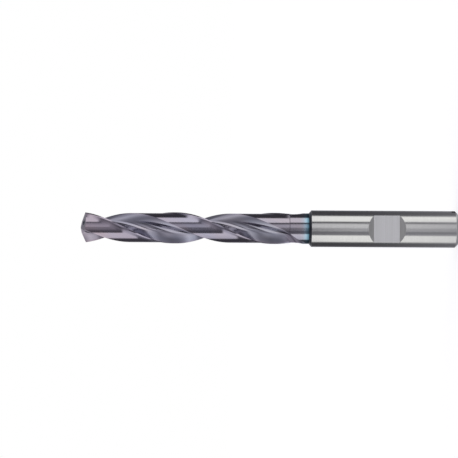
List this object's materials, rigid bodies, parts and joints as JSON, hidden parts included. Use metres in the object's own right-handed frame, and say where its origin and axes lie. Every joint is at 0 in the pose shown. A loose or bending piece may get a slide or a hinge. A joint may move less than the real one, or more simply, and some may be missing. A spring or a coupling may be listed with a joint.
{
  "type": "solid carbide drill",
  "caption": "Right-hand twist drill in one piece: fluted body with margins, four-facet point, helical coolant holes, neck, and a thicker shank with a clamping flat.",
  "frame": {"origin": "centre of the shank's flat end face", "axes": "+Z along the drill's axis from the shank end to the point, -Y out of the clamping flat on the shank"},
  "size_m": [0.01, 0.01, 0.103],
  "materials": {
    "carbide": "ground cemented carbide: the fluted body and neck have a thin dark violet-grey hard coating, the shank is bare and bright"
  },
  "bodies": {
    "root": {"solid_carbide_drill": "carbide"}
  },
  "joints": []
}
